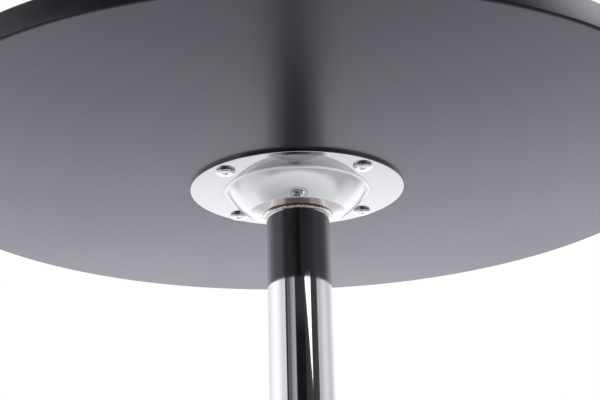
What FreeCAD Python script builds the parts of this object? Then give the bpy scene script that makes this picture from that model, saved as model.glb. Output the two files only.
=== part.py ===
import FreeCAD, Part
import math
import os
import Sketcher

# A round pedestal bar table: a laminated round top screwed to a pressed, chromed flange, a chromed
# column tube welded into the flange's hub, and a weighted trumpet base that stands on four
# screw-in levelling glides.
#
# Frame: millimetres, +Z up. The origin is on the floor, on the column's axis, with the glides
# screwed fully in. The front is -Y. Everything but the glides is one rigid assembly.

# ---------------------------------------------------------------- driving dimensions

DIMENSIONS = [
    # the top
    ("table_height", 1050, "floor to the top surface"),
    ("top_diameter", 600, "round top over its edge band"),
    ("top_thickness", 18, "board with both laminates"),
    ("laminate_thickness", 0.8, "each laminate sheet"),
    ("band_thickness", 2, "edge band"),
    ("band_corner", 1.5, "rounded corners of the edge band"),
    ("insert_diameter", 10, "threaded inserts, outside"),
    ("insert_length", 13, "threaded inserts"),
    ("insert_sink", 0.3, "board's face to the insert's mouth"),
    ("drill_spare", 0.7, "blind hole beyond the insert"),
    # the flange under the top
    ("flange_diameter", 164.4, "flat disc of the flange"),
    ("flange_thickness", 2.2, "steel sheet of the flange"),
    ("flange_edge_round", 0.5, "rounded lower edge of the disc"),
    ("flange_hole_diameter", 6.6, "clearance holes for the screws"),
    ("hub_foot_radius", 56.35, "where the hub's blend leaves the disc"),
    ("hub_blend_radius", 3, "hollow blend between disc and hub side"),
    ("hub_blend_angle", 55.3, "turn of that blend, in degrees"),
    ("hub_side_radius", 53.5, "bulge of the hub's side"),
    ("hub_side_angle", 25.3, "turn of that bulge, in degrees"),
    ("hub_bend_radius", 2.5, "bend between side and collar"),
    ("hub_bend_angle", 18, "turn of that bend, in degrees"),
    ("hub_collar_run", 7.7, "straight sloping collar round the tube, measured outwards"),
    ("hub_lip", 0.3, "drop from the collar's edge to the tube hole"),
    ("weld_width", 2.7, "weld bead, out from the tube"),
    ("weld_height", 1.3, "weld bead, down the tube"),
    # the screws between flange and top
    ("screw_circle", 142, "pitch circle of the four screws"),
    ("screw_thread", 6, "screw thread"),
    ("screw_length", 14, "screw under its head"),
    ("screw_collar_diameter", 14.2, "washer collar of the head"),
    ("screw_collar_height", 1.7, "washer collar of the head"),
    ("screw_head_diameter", 12.4, "pan head on the collar"),
    ("screw_head_height", 2.6, "whole head"),
    ("screw_head_round", 0.95, "rounded side of the pan head"),
    ("screw_head_flat", 10.6, "flat middle of the pan head"),
    ("screw_tip_chamfer", 1, "chamfer at the screw's end"),
    ("recess_length", 6.6, "cross recess, end to end"),
    ("recess_width", 1.5, "one arm of the cross recess"),
    ("recess_depth", 1.9, "cross recess"),
    # the column
    ("tube_diameter", 48.3, "column tube, outside"),
    ("tube_wall", 2, "column tube"),
    ("tube_entry", 8, "underside of the top to the tube's upper end"),
    ("plug_height", 20, "tapped plug in the tube's lower end"),
    # the trumpet base
    ("base_diameter", 420, "chromed shell at its rim"),
    ("shell_thickness", 1.5, "spun steel sheet"),
    ("shell_height", 284, "floor to the shell's neck"),
    ("neck_radius", 27.5, "shell's neck, outside"),
    ("upper_flare_radius", 500, "upper arc of the trumpet"),
    ("upper_flare_angle", 22, "turn of the upper arc, in degrees"),
    ("lower_flare_radius", 110, "lower arc of the trumpet"),
    ("skirt_angle", 80, "skirt from the vertical, in degrees"),
    ("shoulder_radius", 6, "rounded shoulder above the rim"),
    ("rim_gap", 4.5, "floor to the shell's rolled rim"),
    ("roll_radius", 3, "rolled lower edge of the rim"),
    ("lip_width", 14, "rolled lip under the weight"),
    ("weight_clearance", 2, "between shell and weight"),
    ("deck_height", 16, "floor to the top of the weight's thin middle"),
    ("boss_height", 38, "floor to the weight's central boss"),
    ("boss_radius", 50, "central boss"),
    ("boss_foot_radius", 62, "where the boss meets the thin middle"),
    ("rim_band_radius", 160, "inside of the weight's thick rim"),
    ("rim_band_slope", 6, "run of the step down to the thin middle"),
    ("cover_thickness", 1.5, "sheet that closes the base from below"),
    ("trim_thickness", 1.5, "protective ring under the rim"),
    ("trim_round", 1, "rounded outer edge of that ring"),
    ("trim_setback", 1, "that ring's edges inside the shell's rim and lip"),
    ("neck_ring_depth", 12, "gasket inside the shell's neck"),
    ("neck_ring_rise", 2, "gasket's collar above the neck"),
    ("neck_ring_overhang", 0.4, "collar's edge beyond the shell's neck"),
    ("neck_ring_round", 1.2, "rounded edge of the collar"),
    ("cover_screw_circle_radius", 88, "cover screws from the column's axis"),
    ("cover_screw_radius", 2, "cover screw thread"),
    ("cover_screw_head_radius", 3.8, "cover screw head"),
    ("cover_screw_head_height", 1.6, "cover screw head"),
    ("cover_screw_head_flat_radius", 2.6, "flat middle of that head"),
    ("cover_clearance", 0.5, "cover's edge to the shell's lip"),
    ("cover_glide_hole_radius", 6, "holes in the cover for the glide studs"),
    ("cover_screw_bite", 7, "cover screw in the weight"),
    # the tie bolt
    ("bolt_thread", 12, "tie bolt thread"),
    ("bolt_across_flats", 18, "tie bolt head"),
    ("bolt_head_height", 7.5, "tie bolt head"),
    ("bolt_length", 40, "tie bolt under its head"),
    ("bolt_tip_chamfer", 1.5, "chamfer at the tie bolt's end"),
    ("bolt_hole_radius", 6.5, "clearance hole through the weight"),
    ("bolt_pocket_radius", 16, "pocket for head and washers"),
    ("bolt_sink", 1, "weight's underside to the bolt head"),
    ("washer_diameter", 30, "flat washer"),
    ("washer_thickness", 2.5, "flat washer"),
    ("lock_washer_diameter", 21, "spring washer"),
    ("lock_washer_thickness", 3, "spring washer"),
    ("lock_washer_gap", 1, "split in the spring washer"),
    ("lock_washer_lean", 1.2, "sideways run of that split, half way up"),
    # the levelling glides
    ("glide_circle_radius", 176, "glides from the column's axis"),
    ("pad_diameter", 34, "glide pad"),
    ("pad_height", 4.2, "glide pad"),
    ("pad_round", 1, "rounded lower edge of the pad"),
    ("scallop_radius", 3, "finger grips round the pad"),
    ("scallop_setback", 1.8, "centre of each grip outside the pad's edge"),
    ("stud_diameter", 8, "glide stud"),
    ("stud_top", 19, "floor to the stud's upper end"),
    ("stud_tip_chamfer", 1, "chamfer at the stud's end"),
    ("stud_foot", 1.2, "floor to the stud's lower end, inside the pad"),
]

GLIDES = 4
SCREWS = 4
PAD_SCALLOPS = 10
HALF_PITCH = 45.0          # glides and screws stand on the diagonals, in degrees
RUNNING_CLEARANCE = 0.05   # radial, between each glide stud and its tapped hole
ASSEMBLY_CLEARANCE = 0.15  # radial, between pieces that are slid together
WASHER_CLEARANCE = 0.3     # radial, between a screw and the sheet or washer it goes through

doc = FreeCAD.newDocument("round_pedestal_table")
sheet = doc.addObject("Spreadsheet::Sheet", "sizes")
for row, (alias, number, meaning) in enumerate(DIMENSIONS, start=1):
    sheet.set(f"A{row}", meaning)
    sheet.set(f"B{row}", str(number))
    sheet.setAlias(f"B{row}", alias)
doc.recompute()


class Size:
    """A length, angle or ratio with the spreadsheet expression that it comes from."""

    def __init__(self, value, text):
        self.value = value
        self.text = text

    def __add__(self, other):
        other = as_size(other)
        return Size(self.value + other.value, f"({self.text} + {other.text})")

    def __sub__(self, other):
        other = as_size(other)
        return Size(self.value - other.value, f"({self.text} - {other.text})")

    def __mul__(self, other):
        other = as_size(other)
        return Size(self.value * other.value, f"({self.text} * {other.text})")

    def __truediv__(self, other):
        other = as_size(other)
        return Size(self.value / other.value, f"({self.text} / {other.text})")

    def __neg__(self):
        return as_size(0) - self


def as_size(thing):
    if isinstance(thing, Size):
        return thing
    return Size(float(thing), f"{float(thing):.6f}")


def sine(angle):
    return Size(math.sin(math.radians(angle.value)), f"sin({angle.text} * 1 deg)")


def cosine(angle):
    return Size(math.cos(math.radians(angle.value)), f"cos({angle.text} * 1 deg)")


d = {alias: Size(float(number), f"sizes.{alias}") for alias, number, _ in DIMENSIONS}

# Levels and radii that several pieces share.
underside = d["table_height"] - d["top_thickness"]
flange_face = underside - d["flange_thickness"]
top_radius = d["top_diameter"] / 2
board_radius = top_radius - d["band_thickness"]
tube_radius = d["tube_diameter"] / 2
tube_bore = tube_radius - d["tube_wall"]
base_radius = d["base_diameter"] / 2
weight_floor = d["rim_gap"] + d["shell_thickness"]
lip_radius = base_radius - d["lip_width"]

# ---------------------------------------------------------------- helpers

nodes = []


def new_body(label):
    body = doc.addObject("PartDesign::Body", label)
    body.Label = label
    body.AllowCompound = True
    nodes.append(body)
    return body


def origin_plane(body, role):
    for feature in body.Origin.OriginFeatures:
        if feature.Role == role:
            return feature
    raise RuntimeError(f"{body.Label} has no {role}")


def new_sketch(body, plane, height=None):
    """A sketch on one of the body's origin planes, raised along its normal by height."""
    sketch = body.newObject("Sketcher::SketchObject", "Sketch")
    sketch.AttachmentSupport = [(origin_plane(body, plane), "")]
    sketch.MapMode = "FlatFace"
    if height is not None:
        sketch.setExpression("AttachmentOffset.Base.z", height.text)
    return sketch


def set_length(sketch, kind, *where, size):
    number = sketch.addConstraint(Sketcher.Constraint(kind, *where, size.value))
    sketch.setExpression(f"Constraints[{number}]", size.text)


def arc_between(start, end, radius, side):
    """The shorter arc from start to end; side is +1 if it bows to the left of the way there."""
    chord = end - start
    half = chord.Length / 2
    left = FreeCAD.Vector(-chord.y, chord.x, 0).normalize()
    rise = math.sqrt(radius ** 2 - half ** 2)
    centre = start + chord * 0.5 - left * (side * rise)
    middle = centre + left * (side * radius)
    return Part.Arc(start, middle, end)


def closed_outline(sketch, corners):
    """Draws a closed outline.

    Each corner is (x, y), or (x, y, radius, side) where an arc leads on to the next corner.
    """
    points = [FreeCAD.Vector(as_size(c[0]).value, as_size(c[1]).value, 0) for c in corners]
    ends = []
    for number, corner in enumerate(corners):
        start = points[number]
        end = points[(number + 1) % len(corners)]
        if len(corner) == 2:
            edge = sketch.addGeometry(Part.LineSegment(start, end), False)
            ends.append((edge, 1, 2))
            continue
        arc = arc_between(start, end, as_size(corner[2]).value, corner[3])
        edge = sketch.addGeometry(arc, False)
        # A sketch keeps every arc anticlockwise, so a clockwise one starts at its second end.
        first = sketch.getPoint(edge, 1)
        forward = (first - start).Length < (first - end).Length
        ends.append((edge, 1, 2) if forward else (edge, 2, 1))
    for number, (edge, _, last) in enumerate(ends):
        following, first, _ = ends[(number + 1) % len(ends)]
        sketch.addConstraint(Sketcher.Constraint("Coincident", edge, last, following, first))
    for (edge, first, _), corner in zip(ends, corners):
        set_length(sketch, "DistanceX", -1, 1, edge, first, size=as_size(corner[0]))
        set_length(sketch, "DistanceY", -1, 1, edge, first, size=as_size(corner[1]))
        if len(corner) > 2:
            set_length(sketch, "Radius", edge, size=as_size(corner[2]))


def revolve(body, corners, axis_x=None, cut=False):
    """Turns an outline of (radius, height) corners round the Z axis, or a parallel at axis_x."""
    sketch = new_sketch(body, "XZ_Plane")
    if axis_x is None:
        closed_outline(sketch, corners)
        axis = "V_Axis"
    else:
        moved = [(axis_x + corner[0],) + tuple(corner[1:]) for corner in corners]
        closed_outline(sketch, moved)
        start = FreeCAD.Vector(axis_x.value, 0, 0)
        line = sketch.addGeometry(Part.LineSegment(start, start + FreeCAD.Vector(0, 1, 0)), True)
        set_length(sketch, "DistanceX", -1, 1, line, 1, size=axis_x)
        set_length(sketch, "DistanceY", -1, 1, line, 1, size=as_size(0))
        set_length(sketch, "DistanceY", line, 1, line, 2, size=as_size(1))
        sketch.addConstraint(Sketcher.Constraint("Vertical", line))
        axis = "Axis0"
    kind = "PartDesign::Groove" if cut else "PartDesign::Revolution"
    feature = body.newObject(kind, "Turned")
    feature.Profile = sketch
    feature.ReferenceAxis = (sketch, [axis])
    feature.Angle = 360.0
    sketch.Visibility = False
    return feature


def turned(label, corners):
    body = new_body(label)
    revolve(body, corners)
    return body


def polar(body, originals, count):
    pattern = body.newObject("PartDesign::PolarPattern", "Pattern")
    pattern.Originals = originals
    pattern.Axis = (originals[0].Profile[0], ["V_Axis"])
    pattern.Angle = 360.0
    pattern.Occurrences = count
    body.Tip = pattern
    return pattern


def holes(body, radius, circle_radius, low, high, count):
    """Cuts round holes from low up to high, evenly round the Z axis, first one on +X."""
    zero = as_size(0)
    first = revolve(body, [(zero, low), (radius, low), (radius, high), (zero, high)],
                    axis_x=circle_radius, cut=True)
    return polar(body, [first], count)


def on_diagonals(body):
    body.Placement = FreeCAD.Placement(FreeCAD.Vector(), FreeCAD.Rotation(HALF_PITCH, 0, 0))


def ring(inner, outer, low, high):
    return [(inner, low), (outer, low), (outer, high), (inner, high)]


def disc(radius, low, high):
    return ring(as_size(0), radius, low, high)


# ---------------------------------------------------------------- the top

screw_circle_radius = d["screw_circle"] / 2
insert_radius = d["insert_diameter"] / 2
insert_mouth = underside + d["insert_sink"]
insert_end = insert_mouth + d["insert_length"]
drilled_end = insert_end + d["drill_spare"]
core_floor = underside + d["laminate_thickness"]
core_top = d["table_height"] - d["laminate_thickness"]


def make_tabletop():
    core = turned("tabletop_core", disc(board_radius, core_floor, core_top))
    holes(core, insert_radius, screw_circle_radius, core_floor - 1, drilled_end, SCREWS)
    on_diagonals(core)

    turned("top_laminate", disc(board_radius, core_top, d["table_height"]))

    lower = turned("underside_laminate", disc(board_radius, underside, core_floor))
    holes(lower, insert_radius, screw_circle_radius, underside - 1, core_floor + 1, SCREWS)
    on_diagonals(lower)

    corner = d["band_corner"]
    turned("edge_band", [
        (board_radius, underside),
        (top_radius - corner, underside, corner, -1),
        (top_radius, underside + corner),
        (top_radius, d["table_height"] - corner, corner, -1),
        (top_radius - corner, d["table_height"]),
        (board_radius, d["table_height"]),
    ])


def make_inserts():
    """Four threaded inserts pressed into the board; the thread is left as a plain bore."""
    body = new_body("threaded_inserts")
    thread_radius = d["screw_thread"] / 2 + RUNNING_CLEARANCE
    first = revolve(body, ring(thread_radius, insert_radius, insert_mouth, insert_end),
                    axis_x=screw_circle_radius)
    polar(body, [first], SCREWS)
    on_diagonals(body)


# ---------------------------------------------------------------- flange, weld and screws


def hub_side(offset):
    """The hub's side, offset inwards: blend, bulge and bend run on into a sloping collar."""
    slopes = [as_size(0), d["hub_blend_angle"]]
    for turn in ("hub_side_angle", "hub_bend_angle"):
        slopes.append(slopes[-1] - d[turn])
    radii = [
        d["hub_blend_radius"] + offset,
        d["hub_side_radius"] - offset,
        d["hub_bend_radius"] - offset,
    ]
    corners = []
    x = d["hub_foot_radius"]
    z = flange_face + offset
    for number, radius in enumerate(radii):
        start = slopes[number]
        end = slopes[number + 1]
        side = -1 if number == 0 else 1
        corners.append((x, z, radius, side))
        x = x + radius * (sine(end) - sine(start)) * side
        z = z + radius * (cosine(start) - cosine(end)) * side
    corners.append((x, z))
    collar = slopes[-1]
    run = d["hub_collar_run"]
    corners.append((x - run, z - run * sine(collar) / cosine(collar)))
    return corners


hub_mouth_radius, hub_mouth = hub_side(as_size(0))[-1]


def run_back(corners):
    """The same outline from its end to its start: each arc moves to the corner it ends at."""
    back = [corners[-1][:2]]
    for corner, following in zip(reversed(corners[:-1]), reversed(corners[1:])):
        if len(corner) > 2:
            back[-1] = (*following[:2], corner[2], -corner[3])
        back.append(corner[:2])
    return back


def make_flange():
    """A flat disc pressed out in the middle into a hollow hub that holds the tube."""
    hole_radius = tube_radius + ASSEMBLY_CLEARANCE
    outer = hub_side(as_size(0))
    inner = run_back(hub_side(d["flange_thickness"]))
    rim = d["flange_diameter"] / 2
    edge_round = d["flange_edge_round"]
    flange = turned("mounting_flange", [
        (rim, underside),
        (rim, flange_face + edge_round, edge_round, 1),
        (rim - edge_round, flange_face),
        *outer,
        (hole_radius, hub_mouth - d["hub_lip"]),
        (hole_radius, inner[0][1]),
        *inner,
    ])
    hole = d["flange_hole_diameter"] / 2
    holes(flange, hole, screw_circle_radius, flange_face - 1, underside + 1, SCREWS)
    on_diagonals(flange)


def make_weld():
    """The fillet weld between the hub's narrow end and the tube, with a rounded face."""
    hole_radius = tube_radius + ASSEMBLY_CLEARANCE
    foot = hub_mouth - d["hub_lip"]
    toe = tube_radius + d["weld_width"]
    lip_rise = d["hub_lip"] * (toe - hole_radius) / (hub_mouth_radius - hole_radius)
    turned("weld_bead", [
        (tube_radius, foot),
        (hole_radius, foot),
        (toe, foot + lip_rise, d["weld_width"], 1),
        (tube_radius, foot - d["weld_height"]),
    ])


def make_flange_screws():
    """Four pan-head screws with a washer collar and a cross recess, heads down."""
    body = new_body("flange_screws")
    zero = as_size(0)
    tip = flange_face + d["screw_length"]
    shank = d["screw_thread"] / 2
    collar = d["screw_collar_diameter"] / 2
    collar_face = flange_face - d["screw_collar_height"]
    head_face = flange_face - d["screw_head_height"]
    head = d["screw_head_diameter"] / 2
    chamfer = d["screw_tip_chamfer"]
    screw = revolve(body, [
        (zero, head_face),
        (d["screw_head_flat"] / 2, head_face, d["screw_head_round"], -1),
        (head, collar_face),
        (collar, collar_face),
        (collar, flange_face),
        (shank, flange_face),
        (shank, tip - chamfer),
        (shank - chamfer, tip),
        (zero, tip),
    ], axis_x=screw_circle_radius)

    sketch = new_sketch(body, "XY_Plane", head_face)
    middle = screw_circle_radius
    arm = d["recess_length"] / 2
    half = d["recess_width"] / 2
    closed_outline(sketch, [
        (middle + arm, -half), (middle + arm, half), (middle + half, half),
        (middle + half, arm), (middle - half, arm), (middle - half, half),
        (middle - arm, half), (middle - arm, -half), (middle - half, -half),
        (middle - half, -arm), (middle + half, -arm), (middle + half, -half),
    ])
    recess = body.newObject("PartDesign::Pocket", "Recess")
    recess.Profile = sketch
    recess.setExpression("Length", d["recess_depth"].text)
    recess.Reversed = True
    sketch.Visibility = False
    polar(body, [screw, recess], SCREWS)
    on_diagonals(body)


# ---------------------------------------------------------------- the column

tube_foot = d["boss_height"]
tube_head = underside - d["tube_entry"]


def make_column():
    turned("column_tube", ring(tube_bore, tube_radius, tube_foot, tube_head))
    thread_radius = d["bolt_thread"] / 2 + RUNNING_CLEARANCE
    turned("foot_plug", ring(thread_radius, tube_bore, tube_foot, tube_foot + d["plug_height"]))


# ---------------------------------------------------------------- the base


def flare(offset):
    """The trumpet's side, offset inwards: neck, two hollow arcs, skirt and shoulder."""
    upper = d["upper_flare_radius"]
    lower = d["lower_flare_radius"]
    first = d["upper_flare_angle"]
    last = d["skirt_angle"]
    shoulder = d["shoulder_radius"]
    upper_x = d["neck_radius"] + upper
    upper_z = d["shell_height"]
    lower_x = upper_x - (upper - lower) * cosine(first)
    lower_z = upper_z - (upper - lower) * sine(first)
    # The skirt runs straight from the lower arc and touches the shoulder's arc.
    skirt_x = lower_x - lower * cosine(last)
    skirt_z = lower_z - lower * sine(last)
    run = (base_radius - shoulder - skirt_x + shoulder * cosine(last)) / sine(last)
    shoulder_x = base_radius - shoulder
    shoulder_z = skirt_z - run * cosine(last) - shoulder * sine(last)
    return {
        "neck": (d["neck_radius"] - offset, upper_z, upper + offset),
        "bend": (upper_x - (upper + offset) * cosine(first),
                 upper_z - (upper + offset) * sine(first), lower + offset),
        "skirt": (lower_x - (lower + offset) * cosine(last),
                  lower_z - (lower + offset) * sine(last)),
        "shoulder": (shoulder_x + (shoulder - offset) * cosine(last),
                     shoulder_z + (shoulder - offset) * sine(last), shoulder - offset),
        "edge": (base_radius - offset, shoulder_z),
    }


def make_base_shell():
    """The spun trumpet cover, its lower edge rolled in under the weight."""
    outer = flare(as_size(0))
    inner = flare(d["shell_thickness"])
    roll = d["roll_radius"]
    wall = d["shell_thickness"]
    gap = d["rim_gap"]
    turned("base_shell", [
        (*outer["neck"], -1),
        (*outer["bend"], -1),
        outer["skirt"],
        (*outer["shoulder"], 1),
        outer["edge"],
        (base_radius, gap + roll, roll, 1),
        (base_radius - roll, gap),
        (lip_radius, gap),
        (lip_radius, gap + wall),
        (base_radius - roll, gap + wall, roll - wall, -1),
        (base_radius - wall, gap + roll),
        (*inner["edge"], inner["shoulder"][2], -1),
        inner["shoulder"][:2],
        (*inner["skirt"], inner["bend"][2], 1),
        (*inner["bend"][:2], inner["neck"][2], 1),
        inner["neck"][:2],
    ])


def make_base_weight():
    """The cast disc that the rim is rolled round, with a boss for the column."""
    follow = flare(d["shell_thickness"] + d["weight_clearance"])
    bolt_hole = d["bolt_hole_radius"]
    # A thick rim under the skirt takes the glides; inside it the disc is thinner.
    rim_radius = d["rim_band_radius"]
    skirt_x, skirt_z = follow["skirt"]
    slope = cosine(d["skirt_angle"]) / sine(d["skirt_angle"])
    rim_top = skirt_z - (rim_radius - skirt_x) * slope
    weight = turned("base_weight", [
        (bolt_hole, weight_floor),
        (follow["edge"][0], weight_floor),
        follow["edge"],
        follow["shoulder"][:2],
        (rim_radius, rim_top),
        (rim_radius - d["rim_band_slope"], d["deck_height"]),
        (d["boss_foot_radius"], d["deck_height"]),
        (d["boss_radius"], d["boss_height"]),
        (bolt_hole, d["boss_height"]),
    ])
    zero = as_size(0)
    revolve(weight, disc(d["bolt_pocket_radius"], weight_floor - 1, washer_seat), cut=True)
    glide_hole = d["stud_diameter"] / 2 + RUNNING_CLEARANCE
    first = revolve(weight, [
        (zero, weight_floor - 1),
        (glide_hole, weight_floor - 1),
        (glide_hole, d["boss_height"]),
        (zero, d["boss_height"]),
    ], axis_x=d["glide_circle_radius"], cut=True)
    polar(weight, [first], GLIDES)
    screw_hole = revolve(weight, [
        (zero, weight_floor - 1),
        (d["cover_screw_radius"], weight_floor - 1),
        (d["cover_screw_radius"], cover_hole_end),
        (zero, cover_hole_end),
    ], axis_x=d["cover_screw_circle_radius"], cut=True)
    polar(weight, [screw_hole], GLIDES)
    on_diagonals(weight)


bolt_head_floor = weight_floor + d["bolt_sink"]
lock_washer_floor = bolt_head_floor + d["bolt_head_height"]
washer_floor = lock_washer_floor + d["lock_washer_thickness"]
washer_seat = washer_floor + d["washer_thickness"]
cover_screw_end = weight_floor + d["cover_screw_bite"]
cover_hole_end = cover_screw_end + 1


def make_tie_bolt():
    """The hexagon bolt that pulls the column's plug down onto the weight, with its washers."""
    bolt = new_body("tie_bolt")
    sketch = new_sketch(bolt, "XY_Plane", bolt_head_floor)
    corner_radius = d["bolt_across_flats"] / (2 * math.cos(math.pi / 6))
    corners = []
    for number in range(6):
        turn = as_size(60 * number)
        corners.append((corner_radius * cosine(turn), corner_radius * sine(turn)))
    closed_outline(sketch, corners)
    head = bolt.newObject("PartDesign::Pad", "Head")
    head.Profile = sketch
    head.setExpression("Length", d["bolt_head_height"].text)
    sketch.Visibility = False
    shank = d["bolt_thread"] / 2
    tip = lock_washer_floor + d["bolt_length"]
    chamfer = d["bolt_tip_chamfer"]
    revolve(bolt, [
        (as_size(0), lock_washer_floor - 1),
        (shank, lock_washer_floor - 1),
        (shank, tip - chamfer),
        (shank - chamfer, tip),
        (as_size(0), tip),
    ])

    hole = shank + WASHER_CLEARANCE
    turned("flat_washer", ring(hole, d["washer_diameter"] / 2, washer_floor, washer_seat))
    make_spring_washer(hole)


def make_spring_washer(hole):
    """A split ring: a turned ring with a slanting cut through one side."""
    body = turned("spring_washer",
                  ring(hole, d["lock_washer_diameter"] / 2, lock_washer_floor, washer_floor))
    sketch = new_sketch(body, "YZ_Plane")
    lean = d["lock_washer_lean"]
    gap = d["lock_washer_gap"]
    below = lock_washer_floor - 1
    above = washer_floor + 1
    closed_outline(sketch, [
        (-lean, below), (gap - lean, below), (gap + lean, above), (lean, above),
    ])
    slot = body.newObject("PartDesign::Pocket", "Split")
    slot.Profile = sketch
    slot.setExpression("Length", d["lock_washer_diameter"].text)
    slot.Reversed = True
    sketch.Visibility = False


def make_neck_ring():
    """The soft gasket that closes the gap between the shell's neck and the tube."""
    neck_top = d["shell_height"]
    body_radius = d["neck_radius"] - d["shell_thickness"] - ASSEMBLY_CLEARANCE
    ring_bore = tube_radius + ASSEMBLY_CLEARANCE
    collar_radius = d["neck_radius"] + d["neck_ring_overhang"]
    collar_top = neck_top + d["neck_ring_rise"]
    corner = d["neck_ring_round"]
    turned("neck_ring", [
        (ring_bore, neck_top - d["neck_ring_depth"]),
        (body_radius, neck_top - d["neck_ring_depth"]),
        (body_radius, neck_top),
        (collar_radius, neck_top),
        (collar_radius, collar_top - corner, corner, -1),
        (collar_radius - corner, collar_top),
        (ring_bore, collar_top),
    ])


def make_rim_trim():
    """The protective ring under the shell's rolled rim."""
    inner = lip_radius + d["trim_setback"]
    outer = base_radius - d["trim_setback"]
    foot = d["rim_gap"] - d["trim_thickness"]
    corner = d["trim_round"]
    turned("rim_trim", [
        (inner, foot),
        (outer - corner, foot, corner, -1),
        (outer, foot + corner),
        (outer, d["rim_gap"]),
        (inner, d["rim_gap"]),
    ])


def make_bottom_cover():
    """The sheet that closes the base from below, held to the weight by four small screws."""
    shank = d["cover_screw_radius"]
    circle_radius = d["cover_screw_circle_radius"]
    cover_radius = lip_radius - d["cover_clearance"]
    cover = turned("bottom_cover", disc(cover_radius, d["rim_gap"], weight_floor))
    low = d["rim_gap"] - 1
    high = weight_floor + 1
    holes(cover, d["cover_glide_hole_radius"], d["glide_circle_radius"], low, high, GLIDES)
    holes(cover, shank + WASHER_CLEARANCE, circle_radius, low, high, GLIDES)
    on_diagonals(cover)

    screws = new_body("cover_screws")
    zero = as_size(0)
    head = d["cover_screw_head_radius"]
    head_floor = d["rim_gap"] - d["cover_screw_head_height"]
    first = revolve(screws, [
        (zero, head_floor),
        (d["cover_screw_head_flat_radius"], head_floor, d["cover_screw_head_height"], -1),
        (head, d["rim_gap"]),
        (shank, d["rim_gap"]),
        (shank, cover_screw_end),
        (zero, cover_screw_end),
    ], axis_x=circle_radius)
    polar(screws, [first], GLIDES)
    on_diagonals(screws)


# ---------------------------------------------------------------- the levelling glides


def make_glide(number):
    """One glide: a steel stud screwed into the weight and a scalloped nylon pad on its end."""
    stud_foot = d["stud_foot"]
    stud_radius = d["stud_diameter"] / 2
    tip = d["stud_tip_chamfer"]
    zero = as_size(0)
    stud = turned(f"glide_stud_{number}", [
        (zero, stud_foot),
        (stud_radius, stud_foot),
        (stud_radius, d["stud_top"] - tip),
        (stud_radius - tip, d["stud_top"]),
        (zero, d["stud_top"]),
    ])

    pad_radius = d["pad_diameter"] / 2
    corner = d["pad_round"]
    pad = turned(f"glide_pad_{number}", [
        (zero, zero),
        (pad_radius - corner, zero, corner, -1),
        (pad_radius, corner),
        (pad_radius, d["pad_height"]),
        (stud_radius, d["pad_height"]),
        (stud_radius, stud_foot),
        (zero, stud_foot),
    ])
    scallop_circle = pad_radius + d["scallop_setback"]
    above = d["pad_height"] + 1
    holes(pad, d["scallop_radius"], scallop_circle, as_size(-1), above, PAD_SCALLOPS)

    angle = HALF_PITCH + 360 / GLIDES * (number - 1)
    for piece in (stud, pad):
        turn = as_size(angle)
        piece.setExpression("Placement.Base.x", (d["glide_circle_radius"] * cosine(turn)).text)
        piece.setExpression("Placement.Base.y", (d["glide_circle_radius"] * sine(turn)).text)


# ---------------------------------------------------------------- build, check and write

make_tabletop()
make_inserts()
make_flange()
make_weld()
make_flange_screws()
make_column()
make_base_shell()
make_base_weight()
make_tie_bolt()
make_neck_ring()
make_rim_trim()
make_bottom_cover()
for glide_number in range(1, GLIDES + 1):
    make_glide(glide_number)
doc.recompute()

for thing in doc.Objects:
    if "Invalid" in thing.State or "Error" in thing.State:
        raise RuntimeError(f"{thing.Name} ({thing.Label}) failed: {thing.State}")
for node in nodes:
    if node.Shape.isNull() or not node.Shape.isValid():
        raise RuntimeError(f"{node.Label} has no valid shape")

os.makedirs("parts", exist_ok=True)
for node in nodes:
    node.Shape.exportStep(f"parts/{node.Label}.step")
    box = node.Shape.BoundBox
    print(f"{node.Label:20s} {len(node.Shape.Solids)} solids {node.Shape.Volume / 1000:10.2f} cm3"
          f"  r {box.XMax:7.2f}  z {box.ZMin:8.2f} to {box.ZMax:8.2f}")
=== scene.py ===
import math

import bmesh
import bpy
from mathutils import Matrix, Vector, noise


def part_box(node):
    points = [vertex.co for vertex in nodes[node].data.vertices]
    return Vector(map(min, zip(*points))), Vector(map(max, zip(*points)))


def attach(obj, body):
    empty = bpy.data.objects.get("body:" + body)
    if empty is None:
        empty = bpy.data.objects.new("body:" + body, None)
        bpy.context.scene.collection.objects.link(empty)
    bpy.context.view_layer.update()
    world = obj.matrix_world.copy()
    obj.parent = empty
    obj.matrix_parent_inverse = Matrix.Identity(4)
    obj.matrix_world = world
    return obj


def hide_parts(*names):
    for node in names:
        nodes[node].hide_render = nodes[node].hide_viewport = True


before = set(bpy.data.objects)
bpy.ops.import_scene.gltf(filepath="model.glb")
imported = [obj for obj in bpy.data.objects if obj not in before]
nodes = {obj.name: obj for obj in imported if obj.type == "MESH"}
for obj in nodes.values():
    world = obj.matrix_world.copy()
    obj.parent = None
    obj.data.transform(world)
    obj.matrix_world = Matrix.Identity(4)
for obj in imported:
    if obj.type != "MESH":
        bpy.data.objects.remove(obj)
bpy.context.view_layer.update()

# Round pedestal bar table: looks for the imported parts. Metres, +Z up, origin on the floor on the
# column's axis, front -Y. Every piece's mesh is in the table's own frame, its object at the origin.

MM = 0.001
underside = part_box("underside_laminate")[0].z
tube_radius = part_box("column_tube")[1].x
weld_low, weld_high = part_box("weld_bead")
screws_low, screws_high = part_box("flange_screws")

# The flange's screws: a pan head on a washer collar, with a cross recess. Widths are measured
# from the screw's axis, heights from its seat, and the recess's depth from the head's face.
SCREW_HEAD = 6.2 * MM
SCREW_COLLAR = 7.1 * MM
SCREW_COLLAR_HEIGHT = 1.7 * MM
SCREW_HEAD_HEIGHT = 2.6 * MM
SCREW_SHANK = 3.0 * MM
SCREW_LENGTH = 14 * MM
RECESS_ARM = 3.2 * MM
RECESS_SLOT = 0.7 * MM
RECESS_DEPTH = 1.8 * MM
flange_face = screws_low.z + SCREW_HEAD_HEIGHT

# ---------------------------------------------------------------- camera

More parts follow.
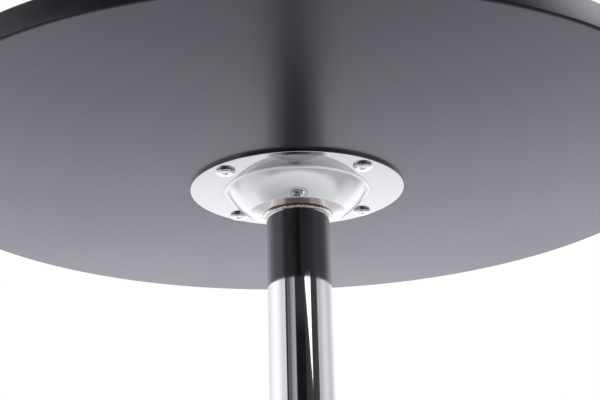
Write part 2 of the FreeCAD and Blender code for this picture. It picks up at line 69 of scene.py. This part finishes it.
EYE_BEFORE_AXIS = 0.7829
EYE_BELOW_TOP = 0.2889
PITCH = math.radians(19.675)
HEADING = -0.0025
ROLL = -0.0263
ORBIT = math.radians(2.2)      # the camera stands this far round from straight in front

camera = bpy.data.objects.new("camera", bpy.data.cameras.new("camera"))
camera.data.sensor_width = 36.0
camera.data.lens = 64.70
camera.data.clip_start = 0.01
turn = (Matrix.Rotation(HEADING, 4, "Z") @ Matrix.Rotation(math.pi / 2 + PITCH, 4, "X")
        @ Matrix.Rotation(ROLL, 4, "Z"))
camera.matrix_world = (
    Matrix.Rotation(ORBIT, 4, "Z")
    @ Matrix.Translation((0, -EYE_BEFORE_AXIS, underside - EYE_BELOW_TOP)) @ turn)
bpy.context.scene.collection.objects.link(camera)
bpy.context.scene.camera = camera

view = bpy.context.scene.view_settings
view.view_transform = "Standard"
view.look = "None"

# ---------------------------------------------------------------- node helpers


def wire(tree, socket, value):
    if isinstance(value, bpy.types.NodeSocket):
        tree.links.new(value, socket)
    else:
        socket.default_value = value


def node(tree, kind, inputs=(), **settings):
    """Adds a node, sets its properties and then its inputs, given as (socket, value) pairs."""
    made = tree.nodes.new(kind)
    for name, value in settings.items():
        setattr(made, name, value)
    for key, value in inputs:
        wire(tree, made.inputs[key], value)
    return made


def math_node(tree, operation, *values):
    made = node(tree, "ShaderNodeMath", operation=operation)
    for number, value in enumerate(values):
        wire(tree, made.inputs[number], value)
    return made.outputs[0]


def ramp(tree, factor, stops):
    """A colour ramp over (position, grey or colour) stops."""
    made = node(tree, "ShaderNodeValToRGB", [("Fac", factor)])
    elements = made.color_ramp.elements
    while len(elements) < len(stops):
        elements.new(0.5)
    for element, (position, colour) in zip(elements, sorted(stops, key=lambda s: s[0])):
        element.position = position
        if not isinstance(colour, tuple):
            colour = (colour, colour, colour)
        element.color = (*colour, 1.0)
    return made.outputs["Color"]


def span(tree, value, low, high, to_low=0.0, to_high=1.0):
    """Goes smoothly from to_low to to_high as the value goes from low to high."""
    made = node(tree, "ShaderNodeMapRange", [
        ("Value", value), ("From Min", low), ("From Max", high),
        ("To Min", to_low), ("To Max", to_high)],
        interpolation_type="SMOOTHSTEP")
    return made.outputs["Result"]


def mix(tree, factor, first, second, blend="MIX"):
    made = node(tree, "ShaderNodeMix", data_type="RGBA", blend_type=blend)
    wire(tree, made.inputs["Factor"], factor)
    wire(tree, made.inputs[6], first)
    wire(tree, made.inputs[7], second)
    return made.outputs[2]


class Finish:
    """A material with one principled shader, and textures laid out in the table's frame."""

    CONTRAST = (0.3, 0.7)       # the range of a noise that drives a value from end to end

    def __init__(self, name, colour, roughness, metallic=0.0, **constants):
        self.material = bpy.data.materials.new(name)
        self.material.use_nodes = True
        self.tree = self.material.node_tree
        self.shader = self.tree.nodes["Principled BSDF"]
        self.shader.inputs["Base Color"].default_value = (*colour, 1.0)
        self.shader.inputs["Roughness"].default_value = roughness
        self.shader.inputs["Metallic"].default_value = metallic
        for key, value in constants.items():
            self.shader.inputs[key.replace("_", " ")].default_value = value
        self.material.diffuse_color = (*colour, 1.0)
        self.place = node(self.tree, "ShaderNodeTexCoord").outputs["Object"]
        self.height = None

    def grain(self, scale, stretch=(1, 1, 1), detail=3.0):
        """Noise from 0 to 1; the scale is cycles per metre, and stretch multiplies it by axis."""
        spot = node(self.tree, "ShaderNodeMapping", [("Vector", self.place), ("Scale", stretch)])
        made = node(self.tree, "ShaderNodeTexNoise", [
            ("Vector", spot.outputs[0]), ("Scale", scale), ("Detail", detail)])
        return made.outputs["Fac"]

    def vary(self, socket, grain, low, high):
        """Drives a number on the shader between low and high by a noise."""
        value = span(self.tree, grain, *self.CONTRAST, low, high)
        wire(self.tree, self.shader.inputs[socket], value)

    def tint(self, grain, low, high):
        """Drives the base colour between two colours by a noise."""
        factor = span(self.tree, grain, *self.CONTRAST)
        colour = mix(self.tree, factor, (*low, 1.0), (*high, 1.0))
        self.colour(colour)
        return colour

    def colour(self, socket):
        wire(self.tree, self.shader.inputs["Base Color"], socket)

    def bump(self, grain, depth, strength=1.0):
        """Adds relief; depth is in metres."""
        inputs = [("Height", grain), ("Distance", depth), ("Strength", strength)]
        if self.height is not None:
            inputs.append(("Normal", self.height))
        self.height = node(self.tree, "ShaderNodeBump", inputs).outputs["Normal"]
        wire(self.tree, self.shader.inputs["Normal"], self.height)

    def frontness(self):
        """1 in front (-Y) of the table's axis, falling to 0 at its sides and behind it."""
        heading = node(self.tree, "ShaderNodeVectorMath", [(0, self.place), (1, (1, 1, 0))],
                       operation="MULTIPLY")
        heading = node(self.tree, "ShaderNodeVectorMath", [(0, heading.outputs[0])],
                       operation="NORMALIZE")
        parts = node(self.tree, "ShaderNodeSeparateXYZ", [(0, heading.outputs[0])]).outputs
        return span(self.tree, parts[1], -0.35, -0.85)

    def radius_and_level(self):
        """Distance from the table's axis, and height above the floor."""
        parts = node(self.tree, "ShaderNodeSeparateXYZ", [(0, self.place)]).outputs
        flat = node(self.tree, "ShaderNodeVectorMath",
                    [(0, self.place), (1, (1.0, 1.0, 0.0))], operation="MULTIPLY")
        length = node(self.tree, "ShaderNodeVectorMath", [(0, flat.outputs[0])],
                      operation="LENGTH")
        return length.outputs["Value"], parts[2]


# ---------------------------------------------------------------- finishes


def make_laminate():
    finish = Finish("black_laminate", (0.010, 0.010, 0.011), 0.26, IOR=1.55,
                    Specular_Tint=(0.82, 0.79, 1.0, 1.0))
    cloud = finish.grain(7.0, detail=4.0)
    speck = finish.grain(520.0, detail=2.0)
    finish.tint(speck, (0.006, 0.0055, 0.007), (0.009, 0.0085, 0.010))
    finish.vary("Roughness", cloud, 0.238, 0.266)
    finish.bump(finish.grain(900.0, detail=2.0), 0.012 * MM, 0.4)
    return finish


def make_edge():
    finish = Finish("black_edge", (0.008, 0.008, 0.011), 0.27, IOR=1.5)
    finish.tint(finish.grain(160.0, (1, 1, 0.2)), (0.006, 0.006, 0.009), (0.010, 0.010, 0.014))
    finish.vary("Roughness", finish.grain(30.0), 0.238, 0.266)
    finish.bump(finish.grain(700.0, (1, 1, 0.3)), 0.015 * MM, 0.4)
    # Its rounded arrises are dull.
    _, level = finish.radius_and_level()
    low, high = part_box("edge_band")
    half = (high.z - low.z) / 2
    off_middle = math_node(finish.tree, "ABSOLUTE", math_node(
        finish.tree, "SUBTRACT", level, (low.z + high.z) / 2))
    wire(finish.tree, finish.shader.inputs["Specular IOR Level"],
         span(finish.tree, off_middle, half - 1.1 * MM, half - 0.3 * MM, 0.5, 0.18))
    return finish


def make_fibreboard():
    finish = Finish("fibreboard", (0.42, 0.31, 0.20), 0.85)
    finish.tint(finish.grain(900.0, (1, 1, 3), 4.0), (0.30, 0.21, 0.13), (0.50, 0.38, 0.26))
    finish.bump(finish.grain(1400.0, (1, 1, 3)), 0.1 * MM)
    return finish


CHROME = (0.637, 0.640, 0.637)
CHROME_DULL = (0.575, 0.578, 0.575)
SATIN = (0.471, 0.477, 0.471)
SATIN_DULL = (0.452, 0.457, 0.451)


def make_chrome(name, along_z, clean=CHROME, hazy=CHROME_DULL):
    """Bright plating: fine polishing lines, a breath of haze and a few brighter wipe marks."""
    finish = Finish(name, clean, 0.04, metallic=1.0)
    stretch = (1, 1, 0.02) if along_z else (1, 1, 1)
    haze = finish.grain(11.0, detail=5.0)
    lines = finish.grain(900.0 if along_z else 260.0, stretch)
    finish.tint(haze, hazy, clean)
    blend = math_node(finish.tree, "ADD", math_node(finish.tree, "MULTIPLY", haze, 0.6),
                      math_node(finish.tree, "MULTIPLY", lines, 0.4))
    finish.vary("Roughness", blend, 0.02, 0.07)
    finish.bump(lines, 0.002 * MM, 0.3)
    return finish


def make_flange_chrome():
    """The flange's plating, brown and grey where the weld's heat has run out over the hub; the tint
    is also painted wider and stronger in front, a painted reflection.
    """
    hub_side = 53.5 * MM
    hub_foot = 56.5 * MM
    hot = tube_radius + 4.0 * MM
    cool = tube_radius + 9.5 * MM
    finish = make_chrome("flange_chrome", False, SATIN, SATIN_DULL)
    tree = finish.tree
    radius, _ = finish.radius_and_level()
    drift = finish.grain(140.0, detail=3.0)
    front = finish.frontness()
    reach = math_node(tree, "MULTIPLY_ADD", drift, 3.0 * MM, radius)
    # Painted reflection: the brown band reaches further out and is stronger in front than at the
    # sides.
    reach = math_node(tree, "MULTIPLY_ADD", front, -5.5 * MM, reach)
    heat_tint_and_reflection = span(tree, reach, cool, hot)
    heat_tint_and_reflection = math_node(tree, "MULTIPLY", heat_tint_and_reflection, span(tree, front, 0.0, 1.0, 0.3, 1.0))
    tint = ramp(tree, heat_tint_and_reflection, [
        (0.0, SATIN), (0.35, (0.49, 0.48, 0.47)), (0.7, (0.53, 0.49, 0.465)),
        (1.0, (0.55, 0.47, 0.42))])
    # Painted reflection: the hub inside its foot is painted a little brighter than the disc.
    plain = finish.shader.inputs["Base Color"].links[0].from_socket
    painted_hub_brightness = span(tree, radius, hub_foot, hub_foot - 2 * MM, 1.0, 1.08)
    plain = mix(tree, 1.0, plain, painted_hub_brightness, "MULTIPLY")
    finish.colour(mix(tree, span(tree, heat_tint_and_reflection, 0.0, 0.3), plain, tint))
    # The hollow round the hub's foot is out of the polishing wheel's reach.
    hollow = math_node(tree, "MULTIPLY", span(tree, radius, hub_side - 2.5 * MM, hub_side),
                       span(tree, radius, hub_foot + 2.5 * MM, hub_foot))
    polish = finish.shader.inputs["Roughness"].links[0].from_socket
    wire(tree, finish.shader.inputs["Roughness"],
         math_node(tree, "MULTIPLY_ADD", hollow, 0.17, polish))
    return finish


def make_weld_finish():
    """Bright along the tube, with painted shade dark along its outer edge where the bead's undercut
    lies in shadow, most of all in front.
    """
    finish = Finish("weld", (0.60, 0.54, 0.48), 0.28, metallic=1.0)
    tree = finish.tree
    radius, _ = finish.radius_and_level()
    bright = finish.tint(finish.grain(500.0, detail=4.0), (0.50, 0.44, 0.38), (0.86, 0.83, 0.78))
    uneven = math_node(tree, "MULTIPLY_ADD", finish.grain(300.0), 1.6 * MM, radius)
    # Painted shade: the bead's outer edge is darkened, most of all in front.
    painted_undercut_shade = span(tree, uneven, tube_radius + 2.3 * MM, tube_radius + 3.1 * MM)
    painted_undercut_shade = math_node(tree, "MULTIPLY", painted_undercut_shade,
                      span(tree, finish.frontness(), 0.0, 1.0, 0.35, 1.0))
    finish.colour(mix(tree, painted_undercut_shade, bright, (0.11, 0.085, 0.07, 1.0)))
    finish.vary("Roughness", finish.grain(240.0), 0.2, 0.42)
    finish.bump(finish.grain(1500.0), 0.05 * MM)
    return finish


def make_zinc():
    finish = Finish("zinc_steel", (0.66, 0.68, 0.68), 0.14, metallic=1.0)
    finish.tint(finish.grain(380.0, detail=4.0), (0.58, 0.61, 0.62), (0.76, 0.77, 0.76))
    finish.vary("Roughness", finish.grain(900.0), 0.08, 0.18)
    finish.bump(finish.grain(2200.0), 0.01 * MM)
    return finish


def make_cast_iron():
    finish = Finish("cast_iron", (0.05, 0.05, 0.053), 0.55)
    finish.tint(finish.grain(120.0, detail=5.0), (0.035, 0.035, 0.037), (0.065, 0.065, 0.068))
    finish.vary("Roughness", finish.grain(60.0), 0.45, 0.65)
    finish.bump(finish.grain(420.0, detail=4.0), 0.35 * MM)
    return finish


def make_black_plastic():
    finish = Finish("black_plastic", (0.022, 0.022, 0.024), 0.45)
    finish.tint(finish.grain(240.0), (0.018, 0.018, 0.020), (0.028, 0.028, 0.030))
    finish.vary("Roughness", finish.grain(90.0), 0.38, 0.52)
    finish.bump(finish.grain(1600.0), 0.03 * MM)
    return finish


def make_cover_sheet():
    """Grained sheet: close pebbles, rubbed a little smoother over broad patches."""
    finish = Finish("cover_sheet", (0.045, 0.045, 0.047), 0.5)
    finish.tint(finish.grain(60.0, detail=4.0), (0.036, 0.036, 0.038), (0.055, 0.055, 0.057))
    finish.vary("Roughness", finish.grain(14.0, detail=4.0), 0.42, 0.6)
    pebbles = node(finish.tree, "ShaderNodeTexVoronoi",
                   [("Vector", finish.place), ("Scale", 700.0)])
    finish.bump(pebbles.outputs["Distance"], 0.12 * MM)
    return finish


def make_nylon():
    finish = Finish("nylon", (0.035, 0.035, 0.036), 0.5, IOR=1.53)
    finish.tint(finish.grain(320.0), (0.028, 0.028, 0.029), (0.045, 0.045, 0.046))
    finish.vary("Roughness", finish.grain(120.0), 0.4, 0.6)
    finish.bump(finish.grain(1300.0), 0.05 * MM)
    return finish


laminate = make_laminate()
edge = make_edge()
fibreboard = make_fibreboard()
tube_chrome = make_chrome("tube_chrome", True)
shell_chrome = make_chrome("shell_chrome", False)
flange_chrome = make_flange_chrome()
weld_finish = make_weld_finish()
zinc = make_zinc()
cast_iron = make_cast_iron()
black_plastic = make_black_plastic()
cover_sheet = make_cover_sheet()
nylon = make_nylon()

DRESS = {
    "tabletop_core": fibreboard, "top_laminate": laminate, "underside_laminate": laminate,
    "edge_band": edge, "threaded_inserts": zinc, "mounting_flange": flange_chrome,
    "weld_bead": weld_finish, "flange_screws": zinc, "column_tube": tube_chrome,
    "foot_plug": zinc, "base_shell": shell_chrome, "base_weight": cast_iron,
    "tie_bolt": zinc, "flat_washer": zinc, "spring_washer": zinc, "neck_ring": black_plastic,
    "rim_trim": black_plastic, "bottom_cover": cover_sheet, "cover_screws": zinc,
}
for number in range(1, 5):
    DRESS[f"glide_stud_{number}"] = zinc
    DRESS[f"glide_pad_{number}"] = nylon
for name, finish in DRESS.items():
    for slot in nodes[name].material_slots:
        slot.material = finish.material

# ---------------------------------------------------------------- detailed pieces


def add_piece(name, mesh, finish, slot, body, *stands_for):
    """Adds a mesh as a piece of a body, shown instead of the nodes that it stands for."""
    piece = bpy.data.objects.new(name, mesh)
    mesh.materials.append(finish.material)
    bpy.context.scene.collection.objects.link(piece)
    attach(piece, body)
    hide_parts(*stands_for)


def finish_mesh(name, shape, sharp_angle):
    """The shape as a smooth-shaded mesh, with edges over the angle in degrees kept sharp."""
    bmesh.ops.recalc_face_normals(shape, faces=shape.faces)
    mesh = bpy.data.meshes.new(name)
    shape.to_mesh(mesh)
    shape.free()
    mesh.polygons.foreach_set("use_smooth", [True] * len(mesh.polygons))
    mesh.set_sharp_from_angle(angle=math.radians(sharp_angle))
    return mesh


def lathe(shape, profile, steps, wobble=None):
    """Turns (radius, level) points round Z: into a closed ring, a solid where both ends are on
    the axis, or a disc where only one end is."""
    rings = []
    for radius, level in profile:
        if radius < 1e-7:
            rings.append([shape.verts.new((0, 0, level))])
            continue
        around = []
        for step in range(steps):
            angle = 2 * math.pi * step / steps
            out, up = wobble(angle, radius, level) if wobble else (radius, level)
            around.append(shape.verts.new((out * math.cos(angle), out * math.sin(angle), up)))
        rings.append(around)
    closed = len(rings[0]) > 1 and len(rings[-1]) > 1
    pairs = list(zip(rings, rings[1:]))
    if closed:
        pairs.append((rings[-1], rings[0]))
    for first, second in pairs:
        for step in range(steps):
            after = (step + 1) % steps
            corners = [first[step % len(first)], first[after % len(first)],
                       second[after % len(second)], second[step % len(second)]]
            unique = list(dict.fromkeys(corners))
            if len(unique) > 2:
                shape.faces.new(unique)


def arc(centre, radius, start, end, count):
    """Points of an arc in the (radius, level) plane, with its angles in degrees."""
    points = []
    for step in range(count + 1):
        angle = math.radians(start + (end - start) * step / count)
        points.append((centre[0] + radius * math.cos(angle), centre[1] + radius * math.sin(angle)))
    return points


def make_edge_band():
    """The band, turned finely enough for its rounded arrises to shine evenly."""
    low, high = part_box("edge_band")
    outer = high.x
    inner = outer - 2 * MM
    corner = 1.5 * MM
    profile = [(inner, low.z)]
    profile += arc((outer - corner, low.z + corner), corner, -90, 0, 8)
    profile += arc((outer - corner, high.z - corner), corner, 0, 90, 8)
    profile.append((inner, high.z))
    shape = bmesh.new()
    lathe(shape, profile, steps=720)
    add_piece("edge_band_fine", finish_mesh("edge_band_fine", shape, sharp_angle=50), edge,
              "black_edge", "table", "edge_band")


def make_weld():
    """The bead: overlapping puddles round the tube, a little uneven in height and width."""
    foot = weld_high.z
    width = weld_high.x - tube_radius
    depth = weld_high.z - weld_low.z
    puddles = 46

    def puddle(angle, radius, level):
        ripple = (angle * puddles / (2 * math.pi)) % 1.0
        swell = math.sin(math.pi * ripple) ** 0.7
        drift = noise.noise(Vector((math.cos(angle) * 3, math.sin(angle) * 3, 0)))
        share = (radius - tube_radius) / width
        out = radius + share * (0.28 * MM * (swell - 0.5) + 0.35 * MM * drift)
        reach = (foot - level) / depth
        up = level - reach * (0.22 * MM * (swell - 0.5) + 0.3 * MM * drift)
        return out, up

    inner = tube_radius - 0.1 * MM
    profile = [(inner, foot), (tube_radius + width * 0.55, foot + 0.2 * MM)]
    centre = (tube_radius, foot - 0.1 * MM)
    for step in range(11):
        angle = math.radians(-90 * step / 10)
        profile.append((centre[0] + width * math.cos(angle), centre[1] + depth * math.sin(angle)))
    profile.append((inner, foot - depth))
    shape = bmesh.new()
    lathe(shape, profile, steps=460, wobble=puddle)
    add_piece("weld_ripples", finish_mesh("weld_ripples", shape, sharp_angle=60), weld_finish,
              "weld", "table", "weld_bead")


def cross_cutter():
    """A cross-shaped punch for the recess, narrowing from outside the head's face up to its tip."""
    shape = bmesh.new()
    rims = []
    tip_scale = 0.42
    for level, scale in ((-SCREW_HEAD_HEIGHT - 0.2 * MM, 1.0),
                         (-SCREW_HEAD_HEIGHT + RECESS_DEPTH, tip_scale)):
        end = RECESS_ARM * scale
        side = RECESS_SLOT * (0.4 + 0.6 * scale)
        outline = [(end, -side), (end, side), (side, side), (side, end), (-side, end),
                   (-side, side), (-end, side), (-end, -side), (-side, -side), (-side, -end),
                   (side, -end), (side, -side)]
        rims.append([shape.verts.new((x, y, level)) for x, y in outline])
    for step in range(12):
        after = (step + 1) % 12
        shape.faces.new((rims[0][step], rims[0][after], rims[1][after], rims[1][step]))
    for rim in rims:
        shape.faces.new((rim[0], rim[1], rim[2], rim[11]))
        shape.faces.new((rim[2], rim[3], rim[4], rim[5]))
        shape.faces.new((rim[5], rim[6], rim[7], rim[8]))
        shape.faces.new((rim[8], rim[9], rim[10], rim[11]))
        shape.faces.new((rim[2], rim[5], rim[8], rim[11]))
    bmesh.ops.recalc_face_normals(shape, faces=shape.faces)
    return shape


def cut(body, cutter):
    """The body's mesh with the cutter taken out of it."""
    meshes = []
    objects = []
    for name, shape in (("body", body), ("cutter", cutter)):
        mesh = bpy.data.meshes.new(name)
        shape.to_mesh(mesh)
        shape.free()
        made = bpy.data.objects.new(name, mesh)
        bpy.context.scene.collection.objects.link(made)
        meshes.append(mesh)
        objects.append(made)
    modifier = objects[0].modifiers.new("cut", "BOOLEAN")
    modifier.operation = "DIFFERENCE"
    modifier.solver = "EXACT"
    modifier.object = objects[1]
    bpy.context.view_layer.update()
    depsgraph = bpy.context.evaluated_depsgraph_get()
    result = bmesh.new()
    result.from_mesh(bpy.data.meshes.new_from_object(objects[0].evaluated_get(depsgraph)))
    for made in objects:
        bpy.data.objects.remove(made)
    for mesh in meshes:
        bpy.data.meshes.remove(mesh)
    return result


def screw_shape():
    """A pan-head screw, head down, its seat at level 0."""
    shoulder = 0.9 * MM
    face_radius = SCREW_HEAD - shoulder
    rise = SCREW_HEAD_HEIGHT - SCREW_COLLAR_HEIGHT
    profile = [(0, -SCREW_HEAD_HEIGHT), (face_radius, -SCREW_HEAD_HEIGHT)]
    for step in range(1, 9):
        angle = math.radians(90 * step / 8)
        profile.append((face_radius + shoulder * math.sin(angle),
                        -SCREW_COLLAR_HEIGHT - rise * math.cos(angle)))
    edge_round = 0.35 * MM
    profile.append((SCREW_COLLAR - edge_round * 1.6, -SCREW_COLLAR_HEIGHT - 0.02 * MM))
    profile += arc((SCREW_COLLAR - edge_round, -SCREW_COLLAR_HEIGHT + edge_round), edge_round,
                   -90, 0, 4)
    profile += [(SCREW_COLLAR, 0), (SCREW_SHANK, 0)]
    pitch = 1.0 * MM
    root = SCREW_SHANK * 0.86
    for number in range(int((SCREW_LENGTH - pitch) / pitch)):
        level = number * pitch
        profile += [(SCREW_SHANK, level + 0.15 * pitch), (root, level + 0.55 * pitch)]
    profile += [(root, SCREW_LENGTH - 0.8 * MM), (SCREW_SHANK * 0.55, SCREW_LENGTH),
                (0, SCREW_LENGTH)]
    shape = bmesh.new()
    lathe(shape, profile, steps=64)
    bmesh.ops.recalc_face_normals(shape, faces=shape.faces)
    return cut(shape, cross_cutter())


def make_screws():
    """The four screws on the flange's diagonals, each turned to its own angle, as one piece."""
    template = screw_shape()
    source = bpy.data.meshes.new("screw")
    template.to_mesh(source)
    template.free()
    reach = screws_high.x - SCREW_COLLAR
    whole = bmesh.new()
    for x, y, angle in ((1, 1, 12), (-1, 1, 68), (-1, -1, 34), (1, -1, 55)):
        before = len(whole.verts)
        whole.from_mesh(source)
        whole.verts.ensure_lookup_table()
        move = (Matrix.Translation((x * reach, y * reach, flange_face))
                @ Matrix.Rotation(math.radians(angle), 4, "Z"))
        bmesh.ops.transform(whole, matrix=move, verts=whole.verts[before:])
    bpy.data.meshes.remove(source)
    add_piece("pan_head_screws", finish_mesh("pan_head_screws", whole, sharp_angle=32), zinc,
              "zinc_steel", "table", "flange_screws")


make_edge_band()
make_weld()
make_screws()

# ---------------------------------------------------------------- studio


def make_world():
    """A soft white studio, darker on the camera's side, where a tall narrow lamp stands."""
    world = bpy.data.worlds.new("studio")
    bpy.context.scene.world = world
    world.use_nodes = True
    tree = world.node_tree
    tree.nodes.clear()
    way = node(tree, "ShaderNodeTexCoord").outputs["Generated"]
    part = node(tree, "ShaderNodeSeparateXYZ", [(0, way)]).outputs
    azimuth = math_node(tree, "ARCTAN2", part[0], math_node(tree, "MULTIPLY", part[1], -1.0))
    around = math_node(tree, "MULTIPLY_ADD", math_node(tree, "SUBTRACT", azimuth, ORBIT),
                       0.5 / math.pi, 0.5)

    def heading(degrees):
        """The value of around at an angle, 0 on the camera's side and positive towards +X."""
        return 0.5 + degrees / 360

    def ring(*stops):
        """Brightness round the table from (degrees, brightness) stops."""
        return ramp(tree, around, [(heading(degrees), level) for degrees, level in stops])

    def fade(low, high, below, above):
        """One colour below and another above, as the direction's height goes from low to high."""
        return mix(tree, span(tree, part[2], low, high), below, above)

    # What stands round the table above its floor.
    walls = ring(
        (-180, 1.1), (-143, 1.12), (-111, 1.62), (-98, 1.73), (-90, 1.66), (-80, 1.47),
        (-70, 1.13), (-54, 1.1), (-52, 0.03), (-48, 0.03), (-46, 0.19), (-35, 0.19),
        (-33, 0.40), (-22, 0.61), (-18.5, 0.60), (-16.5, 0.044), (14, 0.06), (40, 0.066),
        (50, 0.07), (62, 0.09), (64, 0.73), (72, 0.73), (81, 0.93), (91, 1.10),
        (101, 1.05), (113, 0.86), (128, 0.9), (147, 1.2), (180, 1.1))
    # A tall lamp with an upright right edge; its left edge slants in towards its foot.
    lamp_left, lamp_right = 21.3, 38.5      # degrees, the left one at the height lamp_level
    lamp_level = 0.252
    lamp_slant = 214                        # degrees that the left edge moves in a height of 1
    left_edge = math_node(tree, "MULTIPLY_ADD", part[2], -lamp_slant / 360,
                          heading(lamp_left + lamp_slant * lamp_level))
    lamp = math_node(tree, "MULTIPLY", math_node(tree, "GREATER_THAN", around, left_edge),
                     math_node(tree, "LESS_THAN", around, heading(lamp_right)))
    walls = mix(tree, lamp, walls, (2.3, 2.3, 2.3, 1.0))
    # Straight towards the camera's side it is darkest low down.
    dark_half = 15.5                        # degrees
    ahead = math_node(tree, "LESS_THAN", math_node(tree, "ABSOLUTE", math_node(
        tree, "SUBTRACT", around, heading(0))), dark_half / 360)
    low = span(tree, part[2], 0.245, 0.215)
    walls = mix(tree, math_node(tree, "MULTIPLY", ahead, low), walls, (0.015, 0.015, 0.017, 1.0))
    # The studio's floor far off, and nearer, just outside the pale disc.
    far = ring(
        (-180, 1.92), (-164, 1.82), (-136, 1.8), (-120, 0.95), (-96, 0.36), (-86, 0.33),
        (-68, 0.30), (-62, 0.30), (-60, 0.12), (-51, 0.09), (-36, 0.12), (-21, 0.09),
        (-14, 0.07), (-7, 0.02), (0, 0.005), (5, 0.03), (7, 0.12), (14, 0.15), (21, 0.11),
        (36, 0.15), (51, 0.15), (59, 0.14), (68, 0.15), (86, 0.14), (96, 0.18), (107, 0.36),
        (120, 0.8), (136, 1.75), (160, 1.85), (180, 1.92))
    near = ring(
        (-180, 0.80), (-165, 1.05), (-150, 1.75), (-120, 1.5), (-90, 1.15), (-64, 1.0),
        (-50, 0.3), (-30, 0.12), (0, 0.03), (30, 0.15), (50, 0.3), (60, 0.8), (100, 0.85),
        (120, 1.25), (150, 1.75), (165, 1.05), (180, 0.80))
    ground = fade(-0.49, -0.25, near, far)
    sides = fade(-0.12, 0.0, ground, walls)
    # Above the walls it is dim, but for the right-hand back; then comes the ceiling.
    upper = ring(
        (-180, 0.8), (-150, 0.5), (-105, 0.6), (-75, 0.42), (-65, 0.07), (-50, 0.02),
        (0, 0.02), (60, 0.06), (72, 2.3), (80, 4.3), (105, 4.3), (120, 2.4), (180, 1.8))
    sides = fade(0.36, 0.44, sides, upper)
    everywhere = fade(0.58, 0.8, sides, (1.3, 1.3, 1.3, 1.0))
    everywhere = mix(tree, 1.0, everywhere, (0.985, 0.975, 1.045, 1.0), "MULTIPLY")
    # The camera itself sees plain white behind the table.
    studio = node(tree, "ShaderNodeBackground", [("Color", everywhere), ("Strength", 1.0)])
    plain = node(tree, "ShaderNodeBackground", [("Color", (1, 1, 1, 1)), ("Strength", 1.0)])
    path = node(tree, "ShaderNodeLightPath")
    both = node(tree, "ShaderNodeMixShader", [
        (0, path.outputs["Is Camera Ray"]), (1, studio.outputs[0]), (2, plain.outputs[0])])
    node(tree, "ShaderNodeOutputWorld", [("Surface", both.outputs[0])])


def make_floor():
    """A pale round floor that thins out into the white round it."""
    reach = 1.6
    rings = 40
    shape = bmesh.new()
    lathe(shape, [(reach * ring / rings, 0) for ring in range(rings, -1, -1)], steps=96)
    mesh = bpy.data.meshes.new("floor")
    shape.to_mesh(mesh)
    shape.free()
    floor = bpy.data.objects.new("floor", mesh)
    bpy.context.scene.collection.objects.link(floor)
    finish = Finish("floor", (0.6, 0.6, 0.61), 0.6)
    radius, _ = finish.radius_and_level()
    # Painted shade: the floor is darker round the table's foot and lighter further out, with a
    # little noise in where it changes.
    floor_shade_reach = math_node(finish.tree, "MULTIPLY_ADD", finish.grain(4.0), 0.1, radius)
    finish.colour(mix(finish.tree, span(finish.tree, floor_shade_reach, 0.3, 1.1),
                      (0.66, 0.66, 0.67, 1.0), (0.76, 0.76, 0.77, 1.0)))
    clear = node(finish.tree, "ShaderNodeBsdfTransparent")
    thin = node(finish.tree, "ShaderNodeMixShader", [
        (0, span(finish.tree, radius, 0.72, 1.2)),
        (1, finish.shader.outputs[0]), (2, clear.outputs[0])])
    output = finish.tree.nodes["Material Output"]
    finish.tree.links.new(thin.outputs[0], output.inputs["Surface"])
    mesh.materials.append(finish.material)


def add_light(name, place, aim, size, power):
    data = bpy.data.lights.new(name, "AREA")
    data.shape = "DISK"
    data.size = size
    data.energy = power
    light = bpy.data.objects.new(name, data)
    light.location = place
    light.rotation_euler = (Vector(aim) - Vector(place)).to_track_quat("-Z", "Y").to_euler()
    light.visible_camera = False
    light.visible_glossy = False
    bpy.context.scene.collection.objects.link(light)


make_world()
make_floor()
add_light("overhead", place=(0.6, -0.4, 2.9), aim=(0, 0, 0.6), size=1.8, power=68)

# ---------------------------------------------------------------- hand over

bpy.context.view_layer.update()
